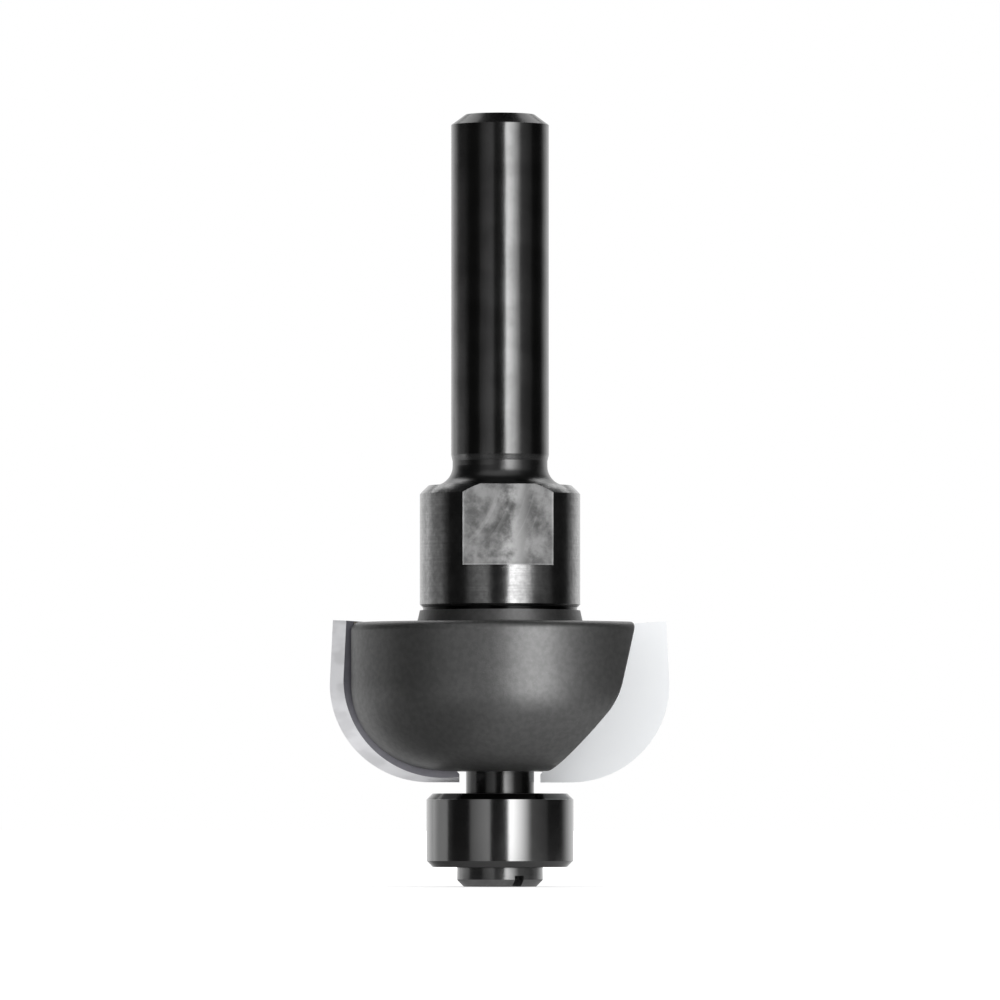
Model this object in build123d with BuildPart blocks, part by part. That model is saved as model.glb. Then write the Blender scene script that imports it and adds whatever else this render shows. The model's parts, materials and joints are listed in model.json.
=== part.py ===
"""Guided cove router bit: turned body, two brazed carbide tips and a ball-bearing pilot.

Millimetres. +Z runs up the axis to the end of the shank, and Z = 0 is the end face of the
pilot screw. The bit turns clockwise seen from the shank, so the tip on the +X side cuts
towards -Y. What comes in pairs on the body repeats after half a turn.
"""

import os
from math import cos, radians, sin, sqrt, tan

from build123d import *

# --- Cutting geometry ---------------------------------------------------------------------
cove_radius = 8.0  # radius of the cove that the tips cut
bearing_diameter = 12.0  # outer diameter of the guide bearing
straight_edge = 5.2  # cutting edge above the cove
back_taper = 0.25  # how far the straight edge leans in over its length
hook_offset = 2.0  # rake faces lie this far past the axis
chip_limit = 1.1  # how far the edges stand out from the bowl
end_limit = 0.9  # how far the edges stand out from the bowl's bottom

# --- Carbide tips -------------------------------------------------------------------------
tip_thickness = 2.0
tip_inner_x = 3.3  # end of the tip beside the bearing
tip_land = 0.8  # how far a tip reaches in behind the limb edge
tip_top_slope = 4.0  # degrees that the top edge falls inwards
tip_rise = 0.2  # how far the tips stand up over the bowl's top face
side_relief = 1.15  # how far the ground form moves inwards through the tip
end_relief = 0.35  # how far it moves upwards through the tip
braze_film = 0.08  # braze between a tip and its seat

# --- Bowl and gullets ---------------------------------------------------------------------
bowl_rim_radius = 0.7  # rounding of the bowl's top edge
gullet_reach_side = 2.88  # bowl to the limb's side edge, level with the cove's centre
gullet_reach_under = 3.25  # bowl to the limb's lower edge, square to that edge
gullet_side_lean = 14.4  # degrees from the axis, side edge of the limb
gullet_under_lean = 41.6  # degrees from the axis, lower edge of the limb
gullet_corner_radius = 6.3  # between the side and the lower edge
gullet_undercut = 6.0  # degrees that the gullet wall leans in under the limb
limb_round = 0.35  # rounding of the limb's outer edge
seat_round = 0.35  # rounding of the bowl's edge behind each tip
seat_corner_radius = 5.0

# --- Shank and collar ---------------------------------------------------------------------
shank_diameter = 8.0
shank_length = 27.83
shank_chamfer = 1.15  # width across the end face
shank_chamfer_height = 0.85
neck_diameter = 7.74
neck_length = 2.5  # relief between shank and collar
neck_taper = 0.5  # length over which the shank runs down to the neck
neck_fillet = 1.6
collar_diameter = 13.1
collar_length = 9.94
collar_top_chamfer = 0.7
collar_top_crown = 8.0  # radius of the slightly crowned chamfer
collar_bottom_chamfer = 0.22
spanner_width = 10.8  # across the two flats
spanner_flat_length = 6.6
spanner_turn = 6.9  # degrees between the flats and the rake faces

# --- Groove and ring above the bowl -------------------------------------------------------
groove_width = 0.25
groove_depth = 0.25
ring_height = 1.03
ring_top_diameter = 13.1
ring_base_diameter = 13.5
ring_fillet = 0.15

# --- Spigot, shoulder and pilot screw -----------------------------------------------------
shoulder_diameter = 5.55
shoulder_length = 1.8  # bearing to bowl
spigot_diameter = 4.76
spigot_chamfer = 0.2
spigot_gap = 0.1  # spigot end to screw head, so that the head clamps the ring
screw_head_diameter = 7.0
screw_head_height = 1.6
screw_head_chamfer = 0.55
slot_width = 0.8
slot_depth = 0.9
slot_turn = 26.7  # degrees between the slot and the rake faces' normal
thread_diameter = 3.0
thread_length = 7.5
thread_point = 0.4
thread_clearance = 0.02
tapped_depth = 9.5
tapped_mouth = 0.2  # countersink of the tapped hole
drill_point_angle = 118.0

# --- Guide bearing ------------------------------------------------------------------------
bearing_width = 6.0
bearing_chamfer = 0.5
bore_chamfer = 0.15
spigot_clearance = 0.01  # bearing bore to spigot, each side
ball_diameter = 2.381
ball_count = 7
raceway_conformity = 0.53  # raceway radius over ball diameter
ball_clearance = 0.015  # ball to the bottom of each raceway
land_reach = 0.33  # how far a land reaches up the ball, over the ball's radius
shield_thickness = 0.2
shield_rim_depth = 0.75  # ring face to the inner side of the shield's rim
shield_face_depth = 0.25  # ring face to the outer side of the shield's disc
shield_rim_width = 0.4  # flat of the rim, in the seat and beside it
shield_dish = 0.35  # radial width of the step between rim and disc
shield_seat_step = 0.22  # land to seat, in radius
shield_gap = 0.06  # shield to inner ring
snap_ring_thickness = 0.2
snap_ring_width = 0.3
snap_ring_bite = 0.12  # how far it sits in its groove
snap_ring_opening = 28.0  # degrees

# --- Ball cage ----------------------------------------------------------------------------
cage_thickness = 0.2  # each pressed half
cage_land_gap = 0.22  # cage to the rings' lands
pocket_clearance = 0.06
rivet_diameter = 0.45
rivet_head_diameter = 0.7
rivet_head_height = 0.1

# --- Heights that follow ------------------------------------------------------------------
bearing_bottom = screw_head_height
bearing_middle = bearing_bottom + bearing_width / 2
bearing_top = bearing_bottom + bearing_width
spigot_end = bearing_bottom + spigot_gap
bowl_bottom = bearing_top + shoulder_length
tip_bottom = bowl_bottom - end_limit
cove_z = tip_bottom + cove_radius
tip_top = cove_z + straight_edge
bowl_top = tip_top - tip_rise
ring_top = bowl_top + ring_height
groove_top = ring_top + groove_width
collar_top = groove_top + collar_length
neck_top = collar_top + neck_length
shank_top = neck_top + shank_length

# --- Radii that follow --------------------------------------------------------------------
bearing_r = bearing_diameter / 2
cutting_r = bearing_r + cove_radius  # the cove's centre stands over the bearing's edge
bowl_r = cutting_r - chip_limit
bowl_arc = bowl_r - bearing_r
bowl_arc_z = bowl_bottom + bowl_arc
spigot_r = spigot_diameter / 2
bore_r = spigot_r + spigot_clearance
ball_r = ball_diameter / 2
pitch_r = (bore_r + bearing_r) / 2
raceway_r = ball_diameter * raceway_conformity
inner_land_r = pitch_r - ball_r * (1 - land_reach)
outer_land_r = pitch_r + ball_r * (1 - land_reach)
shield_seat_r = outer_land_r + shield_seat_step
half_turns = PolarLocations(0, 2).local_locations


def rake_plane(forward=0.0):
    """Plane of the +X rake face, or one this far in front of it, with -Y as its normal."""
    return Plane.XZ.offset(forward - hook_offset)


def rake_x(radius):
    """Where a point that turns at the given radius lies along a rake face."""
    return sqrt(radius**2 - hook_offset**2)


def outside_limb(inward, corner_radius):
    """Sketch of all that lies outside the limb's edge, with that edge moved inwards.

    The edge comes down the side, turns a corner and runs in under the bowl.
    """
    lean = radians(gullet_side_lean)
    under = radians(gullet_under_lean)
    side_x = bowl_r - gullet_reach_side - inward / cos(lean)
    reach = bowl_arc - gullet_reach_under - inward
    under_x = bearing_r + reach * cos(under)
    under_z = cove_z - reach * sin(under)
    rise = (side_x - under_x + (under_z - cove_z) * tan(lean)) / (tan(under) - tan(lean))
    corner = (under_x + rise * tan(under), under_z + rise)
    above_bowl = tip_top + bowl_rim_radius
    below_tip = tip_bottom - end_limit
    top_end = (side_x + (above_bowl - cove_z) * tan(lean), above_bowl)
    low_end = (under_x - (under_z - below_tip) * tan(under), below_tip)
    far = 2 * cutting_r
    with BuildSketch() as outside:
        with BuildLine():
            FilletPolyline(top_end, corner, low_end, radius=corner_radius)
            Polyline(low_end, (far, below_tip), (far, above_bowl), top_end)
        make_face()
    return outside.sketch


# --- Cutting tools for the body -----------------------------------------------------------
# Chip gullet. Its wall leans in under the limb, so it is widest at the rake face. The limb's
# edge keeps its stated place at the depth where most of the wall breaks out of the bowl.
lean_in = tan(radians(gullet_undercut))
edge_depth = hook_offset + bowl_r / sqrt(2)
with BuildPart() as gullet:
    for forward in (0, hook_offset + bowl_r):
        inward = (edge_depth - forward) * lean_in
        with BuildSketch(rake_plane(forward)):
            add(outside_limb(inward, gullet_corner_radius - inward))
    loft(ruled=True)

# Tip seat, a step behind the rake plane, larger than the tip by the film of braze.
with BuildPart() as tip_seat:
    with BuildSketch(rake_plane()):
        add(outside_limb(tip_land + braze_film, seat_corner_radius))
    extrude(amount=-(tip_thickness + braze_film))


# --- Cutter body: shank, collar and bowl, turned and milled from one bar ------------------
def on_turned_surface(edge):
    """Whether the middle of an edge lies on the turned blank."""
    return any(face.distance_to(edge @ 0.5) < 1e-4 for face in turned_faces)


with BuildPart() as cutter_body:
    shoulder_r = shoulder_diameter / 2
    shank_r = shank_diameter / 2
    neck_r = neck_diameter / 2
    collar_r = collar_diameter / 2
    ring_top_r = ring_top_diameter / 2
    ring_base_r = ring_base_diameter / 2
    rim_r = bowl_r - bowl_rim_radius
    with BuildSketch(Plane.XZ):
        with BuildLine():
            Line((0, bowl_bottom), (bearing_r, bowl_bottom))
            CenterArc((bearing_r, bowl_arc_z), bowl_arc, -90, 90)
            Line((bowl_r, bowl_arc_z), (bowl_r, bowl_top - bowl_rim_radius))
            CenterArc((rim_r, bowl_top - bowl_rim_radius), bowl_rim_radius, 0, 90)
            Line((rim_r, bowl_top), (ring_base_r + ring_fillet, bowl_top))
            CenterArc((ring_base_r + ring_fillet, bowl_top + ring_fillet), ring_fillet, 180, 90)
            Polyline(
                (ring_base_r, bowl_top + ring_fillet),
                (ring_top_r, ring_top),
                (ring_top_r - groove_depth, ring_top),
                (ring_top_r - groove_depth, groove_top),
                (collar_r - collar_bottom_chamfer, groove_top),
                (collar_r, groove_top + collar_bottom_chamfer),
                (collar_r, collar_top - collar_top_chamfer),
            )
            crown_start = (collar_r, collar_top - collar_top_chamfer)
            crown_end = (collar_r - collar_top_chamfer, collar_top)
            RadiusArc(crown_start, crown_end, -collar_top_crown)
            Line(crown_end, (neck_r + neck_fillet, collar_top))
            CenterArc((neck_r + neck_fillet, collar_top + neck_fillet), neck_fillet, 180, 90)
            Polyline(
                (neck_r, collar_top + neck_fillet),
                (neck_r, neck_top - neck_taper),
                (shank_r, neck_top),
                (shank_r, shank_top - shank_chamfer_height),
                (shank_r - shank_chamfer, shank_top),
                (0, shank_top),
                (0, bowl_bottom),
            )
        make_face()
    revolve(axis=Axis.Z)
    turned_faces = cutter_body.faces()

    # Gullets, with the limb's outer edge broken all round.
    with Locations(*half_turns):
        add(gullet.part, mode=Mode.SUBTRACT)
    limb_edges = cutter_body.edges(Select.LAST).filter_by(GeomType.BSPLINE)
    limb_edges = limb_edges.filter_by(lambda edge: abs(abs((edge @ 0.5).Y) - hook_offset) > 1e-3)
    fillet(limb_edges.filter_by(on_turned_surface), limb_round)

    # Seats, with the bowl's edge broken behind each tip.
    with Locations(*half_turns):
        add(tip_seat.part, mode=Mode.SUBTRACT)
    seat_back = hook_offset + tip_thickness + braze_film
    seat_edges = cutter_body.edges(Select.LAST)
    seat_edges = seat_edges.filter_by(lambda edge: abs(abs((edge @ 0.5).Y) - seat_back) < 1e-3)
    fillet(seat_edges.filter_by(on_turned_surface), seat_round)

    # Spanner flats, milled down from the collar's top.
    with Locations(Location((0, 0, collar_top), (0, 0, spanner_turn))):
        with Locations((0, spanner_width / 2, 0), (0, -spanner_width / 2 - collar_r, 0)):
            Box(
                collar_diameter,
                collar_r,
                spanner_flat_length,
                align=(Align.CENTER, Align.MIN, Align.MAX),
                mode=Mode.SUBTRACT,
            )

    # Shoulder and spigot under the bowl, tapped for the pilot screw.
    with BuildSketch(Plane.XZ):
        with BuildLine():
            Polyline(
                (0, spigot_end),
                (spigot_r - spigot_chamfer, spigot_end),
                (spigot_r, spigot_end + spigot_chamfer),
                (spigot_r, bearing_top),
                (shoulder_r, bearing_top),
                (shoulder_r, bowl_bottom),
                (0, bowl_bottom),
                close=True,
            )
        make_face()
    revolve(axis=Axis.Z)
    tapped_r = thread_diameter / 2 + thread_clearance
    with BuildSketch(Plane.XZ):
        with BuildLine():
            Polyline(
                (0, spigot_end),
                (tapped_r + tapped_mouth, spigot_end),
                (tapped_r, spigot_end + tapped_mouth),
                (tapped_r, spigot_end + tapped_depth),
                (0, spigot_end + tapped_depth + tapped_r / tan(radians(drill_point_angle / 2))),
                close=True,
            )
        make_face()
    revolve(axis=Axis.Z, mode=Mode.SUBTRACT)

# --- Carbide tips and their braze ---------------------------------------------------------
relief = Vector(-side_relief, tip_thickness, end_relief)
tip_corner_x = rake_x(cutting_r) - back_taper
tip_top_fall = tan(radians(tip_top_slope))


def tip_outline(grow):
    """Sketch of a tip's blank in its rake plane, grown on its hidden inner side."""
    far = 2 * cutting_r
    with BuildSketch() as outline:
        add(outside_limb(tip_land + grow, seat_corner_radius))
        with Locations((tip_inner_x - grow, bowl_bottom)):
            Rectangle(far, 2 * far, align=(Align.MIN, Align.CENTER), mode=Mode.INTERSECT)
        with BuildLine():
            Polyline(
                (tip_corner_x - far, tip_top - far * tip_top_fall),
                (tip_corner_x + far, tip_top + far * tip_top_fall),
                (tip_corner_x - far, tip_top + far),
                close=True,
            )
        make_face(mode=Mode.SUBTRACT)
    return outline.sketch


def cove_point(turn):
    """Point of the cove in a rake plane, this far round from its lowest."""
    return rake_x(bearing_r + cove_radius * sin(turn)), cove_z - cove_radius * cos(turn)


with BuildPart() as tip_blank:
    with BuildSketch(rake_plane()):
        add(tip_outline(0))
    extrude(amount=-tip_thickness)

with BuildPart() as ground_tip:
    with BuildSketch(rake_plane()):
        with BuildLine():
            cove = [cove_point(radians(turn)) for turn in range(0, 91, 15)]
            above = 2 * straight_edge
            far_corner = (cove[-1][0] - back_taper * above / straight_edge, cove_z + above)
            Line((0, tip_bottom), cove[0])
            Spline(*cove, tangents=[(1, 0), (0, 1)])
            Polyline(cove[-1], far_corner, (0, cove_z + above), (0, tip_bottom))
        make_face()
    extrude(amount=relief.length, dir=relief)
    add(tip_blank.part, mode=Mode.INTERSECT)

with BuildPart() as braze:
    with BuildSketch(rake_plane()):
        add(tip_outline(braze_film))
    extrude(amount=-(tip_thickness + braze_film))
    add(tip_blank.part, mode=Mode.SUBTRACT)
    with BuildSketch(Plane.XZ) as braze_reach:
        reach_height = bowl_top - bowl_bottom - seat_round
        with Locations((0, bowl_bottom + seat_round)):
            Rectangle(bowl_r - seat_round, reach_height, align=(Align.MIN, Align.MIN))
        low_corner = braze_reach.vertices().group_by(Axis.Y)[0].sort_by(Axis.X)[-1]
        fillet(low_corner, bowl_arc - seat_round)
    revolve(axis=Axis.Z, mode=Mode.INTERSECT)

# --- Pilot screw --------------------------------------------------------------------------
with BuildPart() as pilot_screw:
    with BuildSketch(Plane.XZ):
        with BuildLine():
            head_r = screw_head_diameter / 2
            thread_r = thread_diameter / 2
            screw_end = screw_head_height + thread_length
            Polyline(
                (0, 0),
                (head_r - screw_head_chamfer, 0),
                (head_r, screw_head_chamfer),
                (head_r, screw_head_height),
                (thread_r, screw_head_height),
                (thread_r, screw_end - thread_point),
                (thread_r - thread_point, screw_end),
                (0, screw_end),
                close=True,
            )
        make_face()
    revolve(axis=Axis.Z)
    with Locations(Location((0, 0, 0), (0, 0, slot_turn))):
        Box(
            slot_width,
            screw_head_diameter,
            slot_depth,
            align=(Align.CENTER, Align.CENTER, Align.MIN),
            mode=Mode.SUBTRACT,
        )

# --- Guide bearing ------------------------------------------------------------------------
bearing_plane = Plane(origin=(0, 0, bearing_middle), x_dir=(1, 0, 0), z_dir=(0, -1, 0))
half_width = bearing_width / 2
raceway_shift = ball_r + ball_clearance - raceway_r
snap_ring_depth = shield_rim_depth - shield_thickness - snap_ring_thickness

with BuildPart() as outer_ring:
    with BuildSketch(bearing_plane) as outer_section:
        with Locations((outer_land_r, 0)):
            ring_wall = bearing_r - outer_land_r
            Rectangle(ring_wall, bearing_width, align=(Align.MIN, Align.CENTER))
        chamfer(outer_section.vertices().group_by(Axis.X)[-1], bearing_chamfer)
        with Locations((pitch_r + raceway_shift, 0)):
            Circle(raceway_r, mode=Mode.SUBTRACT)
        for end, face_side in ((half_width, Align.MAX), (-half_width, Align.MIN)):
            inwards = -1 if end > 0 else 1
            corner = (Align.MIN, face_side)
            with Locations((outer_land_r, end)):
                Rectangle(shield_seat_step, shield_rim_depth, align=corner, mode=Mode.SUBTRACT)
            with Locations((shield_seat_r, end + inwards * snap_ring_depth)):
                Rectangle(snap_ring_bite, snap_ring_thickness, align=corner, mode=Mode.SUBTRACT)
    revolve(axis=Axis.Z)

with BuildPart() as inner_ring:
    with BuildSketch(bearing_plane) as inner_section:
        with Locations((bore_r, 0)):
            Rectangle(inner_land_r - bore_r, bearing_width, align=(Align.MIN, Align.CENTER))
        chamfer(inner_section.vertices(), bore_chamfer)
        with Locations((pitch_r - raceway_shift, 0)):
            Circle(raceway_r, mode=Mode.SUBTRACT)
    revolve(axis=Axis.Z)

with BuildPart() as shield_upper:
    with BuildSketch(bearing_plane):
        with BuildLine():
            rim_top = half_width - shield_rim_depth + shield_thickness
            disc_top = half_width - shield_face_depth
            rim_edge_r = shield_seat_r - shield_rim_width
            disc_r = rim_edge_r - shield_dish
            hole_r = inner_land_r + shield_gap
            Polyline(
                (shield_seat_r, rim_top),
                (rim_edge_r, rim_top),
                (disc_r, disc_top),
                (hole_r, disc_top),
                (hole_r, disc_top - shield_thickness),
                (disc_r, disc_top - shield_thickness),
                (rim_edge_r, rim_top - shield_thickness),
                (shield_seat_r, rim_top - shield_thickness),
                close=True,
            )
        make_face()
    revolve(axis=Axis.Z)

with BuildPart() as snap_ring_upper:
    with BuildSketch(bearing_plane):
        with Locations((shield_seat_r + snap_ring_bite, half_width - snap_ring_depth)):
            Rectangle(snap_ring_width, snap_ring_thickness, align=(Align.MAX, Align.MAX))
    revolve(axis=Axis.Z, revolution_arc=360 - snap_ring_opening)

with BuildPart() as shield_lower:
    mirror(shield_upper.part, about=Plane.XY.offset(bearing_middle))

with BuildPart() as snap_ring_lower:
    mirror(snap_ring_upper.part, about=Plane.XY.offset(bearing_middle))

# --- Balls and their riveted cage ---------------------------------------------------------
ball_places = PolarLocations(pitch_r, ball_count).local_locations
half_pitch = 180 / ball_count
rivet_places = PolarLocations(pitch_r, ball_count, start_angle=half_pitch).local_locations
bearing_centre = Location((0, 0, bearing_middle))
pocket_r = ball_r + pocket_clearance
rivet_r = rivet_diameter / 2


def cage_band():
    """The flat band between the rings' lands that the cage is pressed from."""
    Circle(outer_land_r - cage_land_gap)
    Circle(inner_land_r + cage_land_gap, mode=Mode.SUBTRACT)


with BuildPart() as cage_upper:
    with BuildSketch(Plane.XY.offset(bearing_middle)):
        cage_band()
    extrude(amount=cage_thickness)
    with Locations(*[bearing_centre * place for place in ball_places]):
        Sphere(pocket_r + cage_thickness)
    with BuildSketch(Plane.XY.offset(bearing_middle)):
        cage_band()
    extrude(amount=pocket_r + cage_thickness, mode=Mode.INTERSECT)
    with Locations(*[bearing_centre * place for place in ball_places]):
        Sphere(pocket_r, mode=Mode.SUBTRACT)
    with Locations(*[bearing_centre * place for place in rivet_places]):
        Cylinder(rivet_r, 2 * cage_thickness, mode=Mode.SUBTRACT)

with BuildPart() as cage_lower:
    mirror(cage_upper.part, about=Plane.XY.offset(bearing_middle))

with BuildPart() as cage_rivets:
    for place in rivet_places:
        with Locations(bearing_centre * place):
            Cylinder(rivet_r, 2 * (cage_thickness + rivet_head_height))
            for side in (-1, 1):
                with Locations((0, 0, side * (cage_thickness + rivet_head_height / 2))):
                    Cylinder(rivet_head_diameter / 2, rivet_head_height)

# --- Files --------------------------------------------------------------------------------
os.makedirs("parts", exist_ok=True)


def write_node(part, name):
    """Label a finished piece and write it as a file of its own."""
    part.label = name
    export_step(part, f"parts/{name}.step")


write_node(cutter_body.part, "cutter_body")
write_node(pilot_screw.part, "pilot_screw")
write_node(outer_ring.part, "outer_ring")
write_node(inner_ring.part, "inner_ring")
write_node(shield_upper.part, "shield_upper")
write_node(shield_lower.part, "shield_lower")
write_node(snap_ring_upper.part, "snap_ring_upper")
write_node(snap_ring_lower.part, "snap_ring_lower")
write_node(cage_upper.part, "cage_upper")
write_node(cage_lower.part, "cage_lower")
write_node(cage_rivets.part, "cage_rivets")

for letter, place in zip("ab", half_turns):
    with BuildPart() as carbide_tip:
        with Locations(place):
            add(ground_tip.part)
    write_node(carbide_tip.part, f"carbide_tip_{letter}")
    with BuildPart() as tip_braze:
        with Locations(place):
            add(braze.part)
    write_node(tip_braze.part, f"braze_{letter}")

for number, place in enumerate(ball_places, start=1):
    with BuildPart() as ball:
        with Locations(bearing_centre * place):
            Sphere(ball_r)
    write_node(ball.part, f"ball_{number}")
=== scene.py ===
"""Finishes a guided cove router bit: black steel body, ground tips, bearing and pilot screw.

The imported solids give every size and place. The operators give them their finishes, add the
screw's thread and the cage's rivets, and set up a plain studio. Metres, +Z up the axis.
"""

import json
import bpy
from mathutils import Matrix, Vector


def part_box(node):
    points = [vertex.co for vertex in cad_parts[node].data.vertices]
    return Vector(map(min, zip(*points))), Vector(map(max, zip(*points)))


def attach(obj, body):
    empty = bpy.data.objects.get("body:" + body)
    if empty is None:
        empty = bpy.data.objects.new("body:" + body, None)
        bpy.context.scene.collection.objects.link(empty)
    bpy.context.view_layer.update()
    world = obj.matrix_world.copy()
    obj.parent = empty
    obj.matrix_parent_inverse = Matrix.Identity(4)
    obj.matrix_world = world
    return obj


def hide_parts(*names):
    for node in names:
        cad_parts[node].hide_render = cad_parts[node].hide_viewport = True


bl_info = {
    "name": "Cove Router Bit",
    "version": (1, 0, 0),
    "blender": (4, 5, 0),
    "location": "View3D > Sidebar > Router Bit",
    "description": "Finishes for a guided cove bit, with its studio",
    "category": "Object",
}

from math import atan2, cos, pi, radians, sin, tan

import bmesh
import bpy
from bpy.props import FloatProperty, FloatVectorProperty, PointerProperty
from mathutils import Matrix, Vector

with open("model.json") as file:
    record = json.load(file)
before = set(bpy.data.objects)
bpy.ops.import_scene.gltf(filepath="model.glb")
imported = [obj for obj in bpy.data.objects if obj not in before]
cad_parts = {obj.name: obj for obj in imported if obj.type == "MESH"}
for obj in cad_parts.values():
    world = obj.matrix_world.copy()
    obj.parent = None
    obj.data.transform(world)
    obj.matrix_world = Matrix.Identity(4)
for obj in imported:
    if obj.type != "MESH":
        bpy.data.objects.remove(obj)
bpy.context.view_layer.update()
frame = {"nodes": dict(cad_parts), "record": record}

MM = 0.001
HAIR = 0.01  # keeps the border of a finish off the face that it ends at, in millimetres
NODES = frame["nodes"]
MOUNTS = {mount["name"]: mount for mount in frame["record"]["mounts"]}

# Lengths of the body and tips that no box in the frame gives, in millimetres.
BRAZE_OVER_BOTTOM = 0.35
RING_HEIGHT = 1.03
GROOVE_WIDTH = 0.25
GROOVE_DEPTH = 0.25
COLLAR_RADIUS = 13.1 / 2
SHANK_LENGTH = 27.83
NECK_LENGTH = 2.5
NECK_TAPER = 0.5
END_CHAMFER = 0.85
FLAT_LENGTH = 6.6
FLAT_HALF_WIDTH = 3.7
COVE_RADIUS = 8.0
RELIEF = Vector((-1.15, 0.0, 0.35))
BEARING_CHAMFER = 0.5

# Heights and distances that follow from the frame, in millimetres.
bowl_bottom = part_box("braze_a")[0].z / MM - BRAZE_OVER_BOTTOM
bowl_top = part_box("braze_a")[1].z / MM
ring_top = bowl_top + RING_HEIGHT
groove_top = ring_top + GROOVE_WIDTH
groove_floor = COLLAR_RADIUS - GROOVE_DEPTH
shank_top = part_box("cutter_body")[1].z / MM
neck_top = shank_top - SHANK_LENGTH
collar_top = neck_top - NECK_LENGTH
flat_foot = collar_top - FLAT_LENGTH
flat_normal = Vector(MOUNTS["spanner_flat_front"]["axis"])
flat_distance = flat_normal.dot(Vector(MOUNTS["spanner_flat_front"]["pos_m"])) / MM
rake_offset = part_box("carbide_tip_a")[0].y / MM
tip_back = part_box("carbide_tip_a")[1].y / MM
cove_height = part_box("carbide_tip_a")[0].z / MM + COVE_RADIUS
bearing_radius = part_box("outer_ring")[1].x / MM
bearing_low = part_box("outer_ring")[0].z / MM
bearing_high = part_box("outer_ring")[1].z / MM
bearing_middle = (bearing_low + bearing_high) / 2


# --- Shader building ----------------------------------------------------------------------
def new_material(name):
    """An empty node material, ready for its shader."""
    material = bpy.data.materials.new(name)
    material.use_nodes = True
    material.node_tree.nodes.clear()
    return material, material.node_tree


def put(tree, kind, sockets=None, **settings):
    """Adds a node, with its settings and the values or links of its inputs."""
    node = tree.nodes.new(kind)
    for key, value in settings.items():
        setattr(node, key, value)
    for key, value in (sockets or {}).items():
        if isinstance(value, bpy.types.NodeSocket):
            tree.links.new(value, node.inputs[key])
        else:
            node.inputs[key].default_value = value
    return node


def calc(tree, operation, *values):
    """Output of a Math node on sockets or numbers."""
    return put(tree, "ShaderNodeMath", dict(enumerate(values)), operation=operation).outputs[0]


def length(tree, x, y):
    """Length of the vector (x, y)."""
    square = calc(tree, "ADD", calc(tree, "MULTIPLY", x, x), calc(tree, "MULTIPLY", y, y))
    return calc(tree, "SQRT", square)


def apart(tree, first, second):
    """How far two values lie apart."""
    return calc(tree, "ABSOLUTE", calc(tree, "SUBTRACT", first, second))


def both(tree, first, second):
    """1 where both masks are 1."""
    return calc(tree, "MULTIPLY", first, second)


def span(tree, value, start, end, low=0.0, high=1.0):
    """Goes smoothly from low to high while the value goes from start to end."""
    sockets = {"Value": value, "From Min": start, "From Max": end, "To Min": low, "To Max": high}
    node = put(tree, "ShaderNodeMapRange", sockets, interpolation_type="SMOOTHSTEP")
    return node.outputs["Result"]


def blend_colour(tree, factor, first, second):
    """Colour between two colours or sockets."""
    node = put(tree, "ShaderNodeMix", {0: factor, 6: first, 7: second}, data_type="RGBA")
    return node.outputs[2]


def blend_value(tree, factor, first, second):
    """Number between two numbers or sockets."""
    node = put(tree, "ShaderNodeMix", {0: factor, 2: first, 3: second}, data_type="FLOAT")
    return node.outputs[0]


def blend_normal(tree, factor, first, second):
    """Normal between two normals."""
    node = put(tree, "ShaderNodeMix", {0: factor, 4: first, 5: second}, data_type="VECTOR")
    return node.outputs[1]


def grey(level, warmth=0.0):
    """Nearly neutral colour as RGBA, a little warm or, below 0, a little blue."""
    return (level * (1 + warmth), level, level * (1 - warmth), 1.0)


def millimetres(tree):
    """Object coordinates in millimetres, as a vector and as x, y and z."""
    position = put(tree, "ShaderNodeTexCoord").outputs["Object"]
    scaled = put(tree, "ShaderNodeVectorMath", {0: position, "Scale": 1 / MM}, operation="SCALE")
    parts = put(tree, "ShaderNodeSeparateXYZ", {0: scaled.outputs[0]})
    return scaled.outputs[0], parts.outputs[0], parts.outputs[1], parts.outputs[2]


def stretched(tree, vector, x, y, z):
    """The vector with each axis scaled, so that a texture runs along the axis left small."""
    node = put(tree, "ShaderNodeVectorMath", {0: vector, 1: (x, y, z)}, operation="MULTIPLY")
    return node.outputs[0]


def noise(tree, vector, scale, detail=3.0, roughness=0.5):
    """Fractal noise between 0 and 1."""
    sockets = {"Vector": vector, "Scale": scale, "Detail": detail, "Roughness": roughness}
    return put(tree, "ShaderNodeTexNoise", sockets).outputs["Fac"]


def line_noise(tree, value, scale, detail=2.0):
    """Noise that changes along one value alone, for fine parallel marks."""
    sockets = {"W": value, "Scale": scale, "Detail": detail, "Roughness": 0.6}
    node = put(tree, "ShaderNodeTexNoise", sockets, noise_dimensions="1D")
    return node.outputs["Fac"]


def turning_lean(tree, x, y):
    """How far the surface's normal leans along the turning direction, 0 on turned faces."""
    normal = put(tree, "ShaderNodeTexCoord").outputs["Normal"]
    parts = put(tree, "ShaderNodeSeparateXYZ", {0: normal}).outputs
    one = calc(tree, "MULTIPLY", x, parts[1])
    other = calc(tree, "MULTIPLY", y, parts[0])
    return calc(tree, "DIVIDE", apart(tree, one, other), length(tree, x, y))


def bump(tree, height, depth, strength=1.0, normal=None):
    """Normal of a surface raised by the height, whose full range is depth millimetres."""
    sockets = {"Height": height, "Distance": depth * MM, "Strength": strength}
    if normal is not None:
        sockets["Normal"] = normal
    return put(tree, "ShaderNodeBump", sockets).outputs[0]


def finish_surface(tree, colour, roughness, normal, metallic=1.0):
    """Principled surface and the material's output."""
    sockets = {"Base Color": colour, "Roughness": roughness, "Metallic": metallic}
    shader = put(tree, "ShaderNodeBsdfPrincipled", {**sockets, "Normal": normal})
    put(tree, "ShaderNodeOutputMaterial", {"Surface": shader.outputs[0]})


def dress(node_name, material):
    """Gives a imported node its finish, with its mesh as it is."""
    slots = NODES[node_name].material_slots
    for slot in slots:
        slot.link = "OBJECT"
        slot.material = material


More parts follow.
